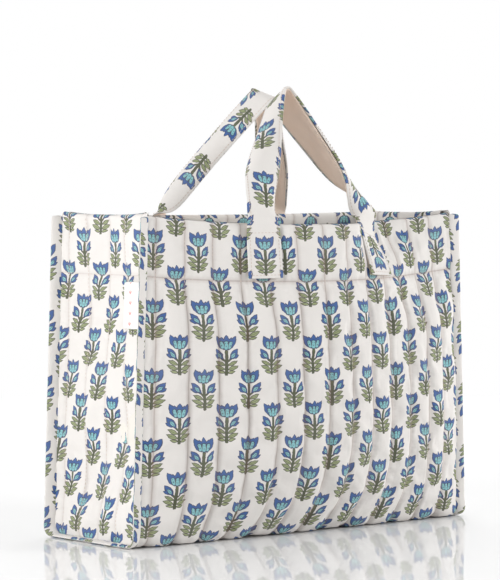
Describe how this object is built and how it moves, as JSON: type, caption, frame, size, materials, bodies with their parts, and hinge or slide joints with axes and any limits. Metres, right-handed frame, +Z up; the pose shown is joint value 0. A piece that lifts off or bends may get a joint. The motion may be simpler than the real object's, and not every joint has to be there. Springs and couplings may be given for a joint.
{
  "type": "quilted knitting bag",
  "caption": "Quilted block-print cotton box tote for knitting, open at the top, with two short sewn strap handles that swing at the top edge and a blank side label.",
  "frame": {"origin": "middle of the base, on the ground", "axes": "+X to the right along the bag's width, +Y from the front panel to the back panel, +Z up"},
  "size_m": [0.415, 0.209, 0.4204],
  "materials": {
    "print_cotton": "matte off-white cotton with a small blue tulip block print",
    "wadding": "white cotton wadding",
    "lining": "plain off-white cotton",
    "binding": "off-white cotton with the same block print",
    "webbing": "pinkish beige twill cotton webbing",
    "thread": "off-white sewing thread",
    "label": "white woven satin tape with a plain coral motif"
  },
  "bodies": {
    "bag": {"back_left_strap_end": "print_cotton", "back_left_webbing_end": "webbing", "back_right_strap_end": "print_cotton", "back_right_webbing_end": "webbing", "body_cover": "print_cotton", "body_lining": "lining", "body_wadding": "wadding", "front_left_strap_end": "print_cotton", "front_left_webbing_end": "webbing", "front_right_strap_end": "print_cotton", "front_right_webbing_end": "webbing", "handle_end_stitching": "thread", "hem_stitching": "thread", "left_gusset_cover": "print_cotton", "left_gusset_lining": "lining", "left_gusset_wadding": "wadding", "left_seam_binding": "binding", "quilting_thread": "thread", "right_gusset_cover": "print_cotton", "right_gusset_lining": "lining", "right_gusset_wadding": "wadding", "right_seam_binding": "binding"},
    "front_handle": {"front_handle_strap": "print_cotton", "front_handle_webbing": "webbing"},
    "back_handle": {"back_handle_strap": "print_cotton", "back_handle_webbing": "webbing"},
    "label": {"side_label": "label"}
  },
  "joints": [
    {"name": "front_handle_swing", "type": "hinge", "parent": "bag", "child": "front_handle", "pos_m": [-0.002, -0.09025, 0.304], "axis": [0.9884, 0.1518, 0], "range_deg": [0, 160]},
    {"name": "back_handle_swing", "type": "hinge", "parent": "bag", "child": "back_handle", "pos_m": [0.002, 0.073, 0.304], "axis": [-1, 0, 0], "range_deg": [0, 160]},
    {"name": "label_flip", "type": "hinge", "parent": "bag", "child": "label", "pos_m": [-0.19065, -0.0608, 0.2185], "axis": [0.0333, 0, 0.9994], "range_deg": [0, 110]}
  ]
}
